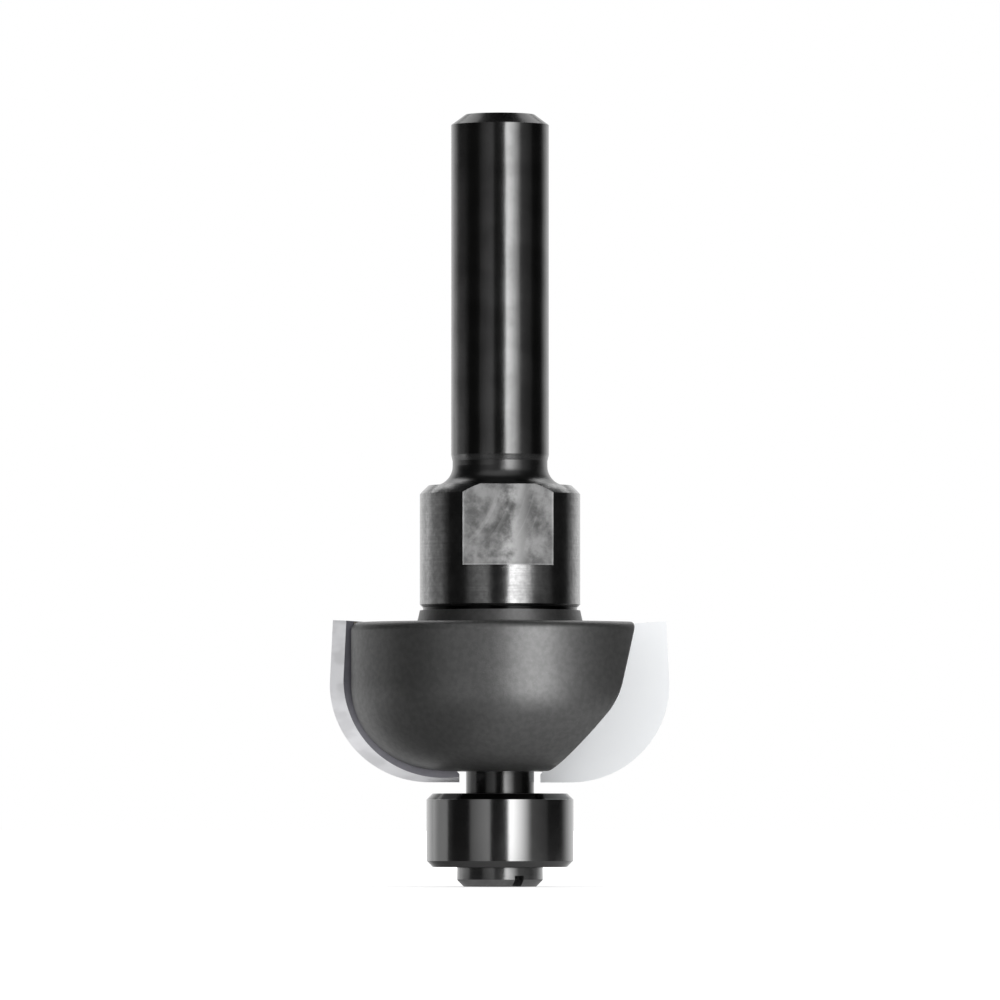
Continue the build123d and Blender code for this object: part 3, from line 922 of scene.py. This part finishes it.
def area_lamp(name, width, depth, level, place, back):
    """Rectangular lamp at a place, which shines the other way than back."""
    lamp = bpy.data.lights.new(name, "AREA")
    lamp.shape = "RECTANGLE"
    lamp.size = width
    lamp.size_y = depth
    lamp.energy = level * pi * width * depth
    made = bpy.data.objects.new(name, lamp)
    made.location = place
    made.rotation_mode = "QUATERNION"
    made.rotation_quaternion = back.to_track_quat("Z", "Y")
    bpy.context.scene.collection.objects.link(made)
    return lamp


def softbox(name, left, right, low, high, level, fade):
    """Area lamp a metre from the bit, between two azimuths and two heights.

    Its brightness goes from the first to the second share of the level, from left to right.
    """
    width = 2 * tan(radians(right - left) / 2)
    back = direction((left + right) / 2)
    place = back + Vector((0.0, 0.0, (low + high) / 2))
    lamp = area_lamp(name, width, high - low, level, place, back)
    lamp.use_nodes = True
    tree = lamp.node_tree
    face = put(tree, "ShaderNodeNewGeometry").outputs["Parametric"]
    across = put(tree, "ShaderNodeSeparateXYZ", {0: face}).outputs[0]
    strength = put(tree, "ShaderNodeMapRange", {0: across, 3: fade[0], 4: fade[1]}).outputs[0]
    emission = next(node for node in tree.nodes if node.type == "EMISSION")
    tree.links.new(strength, emission.inputs["Strength"])


def overhead(name, azimuth, elevation, width, depth, level):
    """Area lamp above the bit, facing it from a little over a metre away."""
    away = 1.1
    bit_middle = Vector((0.0, 0.0, 0.03))
    back = direction(azimuth, elevation)
    area_lamp(name, width, depth, level, back * away + bit_middle, back)


def mirror_rays(tree, ray):
    """1 for a ray that polished metal or glass sends on."""
    return calc(tree, "MAXIMUM", ray.outputs["Is Glossy Ray"], ray.outputs["Is Transmission Ray"])


def make_world():
    """Dark studio with a white backdrop, which the camera sees everywhere and metal behind it."""
    world = bpy.data.worlds.new("studio")
    world.use_nodes = True
    tree = world.node_tree
    tree.nodes.clear()
    ray = put(tree, "ShaderNodeLightPath")
    heading = put(tree, "ShaderNodeTexCoord").outputs["Generated"]
    sockets = {0: heading, 1: direction(180.0)}
    forward = put(tree, "ShaderNodeVectorMath", sockets, operation="DOT_PRODUCT").outputs["Value"]
    rise = put(tree, "ShaderNodeSeparateXYZ", {0: heading}).outputs[2]
    under_top = span(tree, rise, sin(radians(18)), sin(radians(38)), 1.0, 0.0)
    behind = span(tree, forward, cos(radians(70)), cos(radians(30)))
    behind = both(tree, behind, under_top)
    below = span(tree, rise, sin(radians(-12)), sin(radians(-35)))
    below = both(tree, below, span(tree, forward, -0.3, 0.6, 0.12, 0.7))
    mirrored = mirror_rays(tree, ray)
    pale = both(tree, mirrored, calc(tree, "MAXIMUM", behind, below))
    lit = calc(tree, "MAXIMUM", pale, ray.outputs["Is Diffuse Ray"])
    white = calc(tree, "MAXIMUM", ray.outputs["Is Camera Ray"], lit)
    colour = blend_colour(tree, white, grey(ROOM_LEVEL), grey(1.0))
    background = put(tree, "ShaderNodeBackground", {"Color": colour, "Strength": 1.0})
    put(tree, "ShaderNodeOutputWorld", {"Surface": background.outputs[0]})
    bpy.context.scene.world = world


def make_floor(colour):
    """Pale floor that keeps the bit's shadow and turns white far from it.

    Polished metal shows the floor near the bit, and the dark room beyond it. In reflections,
    painted shade darkens the floor's left side, and a painted glow lifts it behind the bit and
    right under it.
    """
    material, tree = new_material("pale_floor")
    position = put(tree, "ShaderNodeTexCoord").outputs["Object"]
    reach = put(tree, "ShaderNodeVectorMath", {0: position}, operation="LENGTH").outputs["Value"]
    ray = put(tree, "ShaderNodeLightPath")
    far = span(tree, reach, 0.12, 0.45)
    seen = calc(tree, "MULTIPLY", ray.outputs["Is Camera Ray"], blend_value(tree, far, 0.55, 1.0))
    mirrored = mirror_rays(tree, ray)
    side, depth, _ = put(tree, "ShaderNodeSeparateXYZ", {0: position}).outputs
    # Painted reflection: only polished metal sees the floor glow behind the bit and right under it,
    # where its shadow lies.
    painted_glow_behind = span(tree, depth, -0.002, 0.012, 0.0, 0.6)
    painted_glow_under_bit = span(tree, reach, 0.0036, 0.005, 0.3, 0.0)
    painted_glow = calc(tree, "MULTIPLY", mirrored, calc(tree, "MAXIMUM", painted_glow_behind, painted_glow_under_bit))
    lift = calc(tree, "ADD", seen, painted_glow)
    lift = calc(tree, "MULTIPLY_ADD", ray.outputs["Is Diffuse Ray"], 0.3, lift)
    # Painted shade: in reflections the floor's colour is darker on its left than on its right.
    painted_left_shade = span(tree, side, -0.011, 0.001, 0.17, 0.6)
    shade = blend_value(tree, mirrored, 1.0, painted_left_shade)
    paint = blend_colour(tree, shade, grey(0.0), (*colour, 1.0))
    plain = put(tree, "ShaderNodeBsdfDiffuse", {"Color": paint})
    glow = put(tree, "ShaderNodeEmission", {"Color": grey(1.0), "Strength": lift})
    summed = put(tree, "ShaderNodeAddShader", {0: plain.outputs[0], 1: glow.outputs[0]})
    put(tree, "ShaderNodeOutputMaterial", {"Surface": summed.outputs[0]})
    near = 0.06
    edge = 40.0
    for name, inner, outer in (("floor", 0.0, near), ("far_floor", near, edge)):
        mesh = bmesh.new()
        rim = bmesh.ops.create_circle(mesh, segments=128, radius=outer)["verts"]
        if inner:
            bmesh.ops.create_circle(mesh, segments=128, radius=inner)
            bmesh.ops.bridge_loops(mesh, edges=mesh.edges)
        else:
            mesh.faces.new(rim)
        bmesh.ops.recalc_face_normals(mesh, faces=mesh.faces)
        floor = placed(name, mesh)
        floor.data.materials.append(material)
        floor.visible_glossy = not inner


# --- Operators ----------------------------------------------------------------------------
class ROUTERBIT_OT_stage(bpy.types.Operator):
    """Camera, floor, backdrop and softboxes"""

    bl_idname = "routerbit.stage"
    bl_label = "Set Up Studio"

    def execute(self, context):
        look = context.scene.router_bit.studio
        camera = bpy.data.cameras.new("camera")
        camera.angle = look.field
        camera.clip_start = 0.01
        eye = bpy.data.objects.new("camera", camera)
        eye.location = (0.0, -look.distance, look.eye_height)
        aim = Vector((0.0, 0.0, look.aim_height)) - eye.location
        eye.rotation_mode = "QUATERNION"
        eye.rotation_quaternion = aim.to_track_quat("-Z", "Y")
        context.scene.collection.objects.link(eye)
        context.scene.camera = eye
        context.scene.view_settings.view_transform = "Standard"
        make_world()
        make_floor(look.floor_colour)
        softbox("key_softbox", 13.0, 50.0, -0.4, 0.62, look.key_level, (1.0, 0.02))
        for name, setting in SIDE_LAMPS.items():
            softbox(name, *setting)
        overhead("top_softbox", 0.0, 55.0, 1.5, 0.7, look.top_level)
        overhead("back_softbox", 180.0, 46.0, 1.2, 0.5, look.back_level)
        return {"FINISHED"}


class ROUTERBIT_OT_body(bpy.types.Operator):
    """Black oxide on shank, collar and bowl, and bare milled flats"""

    bl_idname = "routerbit.body"
    bl_label = "Finish Body"

    def execute(self, context):
        dress("cutter_body", make_body_finish(context.scene.router_bit.body))
        return {"FINISHED"}


class ROUTERBIT_OT_tips(bpy.types.Operator):
    """Ground carbide tips and the braze behind them"""

    bl_idname = "routerbit.tips"
    bl_label = "Finish Tips"

    def execute(self, context):
        look = context.scene.router_bit.tips
        carbide = make_carbide_finish(look)
        braze = make_braze_finish()
        for letter, turn in (("a", 0.0), ("b", pi)):
            tip = fine_tip(letter, turn)
            tip.data.materials.append(carbide)
            smooth_by_angle(tip, 20)
            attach(tip, "cutter")
            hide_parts("carbide_tip_" + letter)
            dress("braze_" + letter, braze)
        return {"FINISHED"}


class ROUTERBIT_OT_bearing(bpy.types.Operator):
    """Polished rings and balls, pressed shields and cage, snap rings"""

    bl_idname = "routerbit.bearing"
    bl_label = "Finish Bearing"

    def execute(self, context):
        polished = make_bearing_finish(context.scene.router_bit.bearing)
        pressed = make_sheet_finish()
        for name in NODES:
            if name.endswith("_ring") or name.startswith("ball_"):
                dress(name, polished)
            elif name.startswith(("shield_", "snap_ring_", "cage_")):
                dress(name, pressed)
        rivets = grown("domed_rivets", rivet_tree(pressed), {})
        smooth_by_angle(rivets, 40)
        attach(rivets, "ball_cage")
        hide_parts("cage_rivets")
        return {"FINISHED"}


class ROUTERBIT_OT_screw(bpy.types.Operator):
    """Slotted pilot screw with its thread"""

    bl_idname = "routerbit.screw"
    bl_label = "Build Pilot Screw"

    def execute(self, context):
        look = context.scene.router_bit.bearing
        finish = make_screw_finish(look)
        low, high = (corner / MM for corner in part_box("pilot_screw"))
        head_r = high.x
        head_top = bearing_low
        edge = 0.04
        slope = 0.55
        slot_width = 0.8
        slot_depth = 0.9
        overlap = 0.3
        outline = [
            (0, low.z),
            (head_r - slope - edge, low.z),
            (head_r - slope + edge / 2, low.z + edge / 2),
            (head_r - edge, low.z + slope - edge),
            (head_r, low.z + slope + edge),
            (head_r, head_top - edge),
            (head_r - edge, head_top),
            (0, head_top),
        ]
        screw = turned_piece("threaded_pilot_screw", outline)
        facing = Vector(MOUNTS["screw_face"]["pos_m"])
        size = (slot_width, 3 * head_r, 2 * slot_depth)
        slot = block("slot", size, (0, 0, low.z), atan2(facing.y, facing.x))
        combine(screw, slot, "DIFFERENCE")
        values = {
            "Length": (high.z - head_top + overlap) * MM,
            "Bottom": (head_top - overlap) * MM,
            "Pitch": look.thread_pitch * MM,
        }
        combine(screw, grown("thread", thread_tree(finish), values), "UNION")
        screw.data.materials.clear()
        screw.data.materials.append(finish)
        smooth_by_angle(screw, 20)
        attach(screw, "cutter")
        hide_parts("pilot_screw")
        return {"FINISHED"}


class ROUTERBIT_PT_panel(bpy.types.Panel):
    """Lists the operators and the looks"""

    bl_label = "Router Bit"
    bl_idname = "ROUTERBIT_PT_panel"
    bl_space_type = "VIEW_3D"
    bl_region_type = "UI"
    bl_category = "Router Bit"

    def draw(self, context):
        for operator in OPERATORS:
            self.layout.operator(operator.bl_idname)
        look = context.scene.router_bit
        for group in (look.body, look.tips, look.bearing, look.studio):
            box = self.layout.box()
            for key in group.bl_rna.properties.keys():
                if key not in ("rna_type", "name"):
                    box.prop(group, key)


OPERATORS = (
    ROUTERBIT_OT_stage,
    ROUTERBIT_OT_body,
    ROUTERBIT_OT_tips,
    ROUTERBIT_OT_bearing,
    ROUTERBIT_OT_screw,
)
LOOKS = (BodyLook, TipLook, BearingLook, StudioLook, RouterBitLook)
CLASSES = (*LOOKS, *OPERATORS, ROUTERBIT_PT_panel)


def register():
    """Registers the classes and the look that the scene holds."""
    for each in CLASSES:
        bpy.utils.register_class(each)
    bpy.types.Scene.router_bit = PointerProperty(type=RouterBitLook)


def unregister():
    """Takes them away again."""
    del bpy.types.Scene.router_bit
    for each in reversed(CLASSES):
        bpy.utils.unregister_class(each)


def main():
    """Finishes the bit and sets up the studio."""
    register()
    bpy.ops.routerbit.stage()
    bpy.ops.routerbit.body()
    bpy.ops.routerbit.tips()
    bpy.ops.routerbit.bearing()
    bpy.ops.routerbit.screw()


if __name__ == "__main__":
    main()
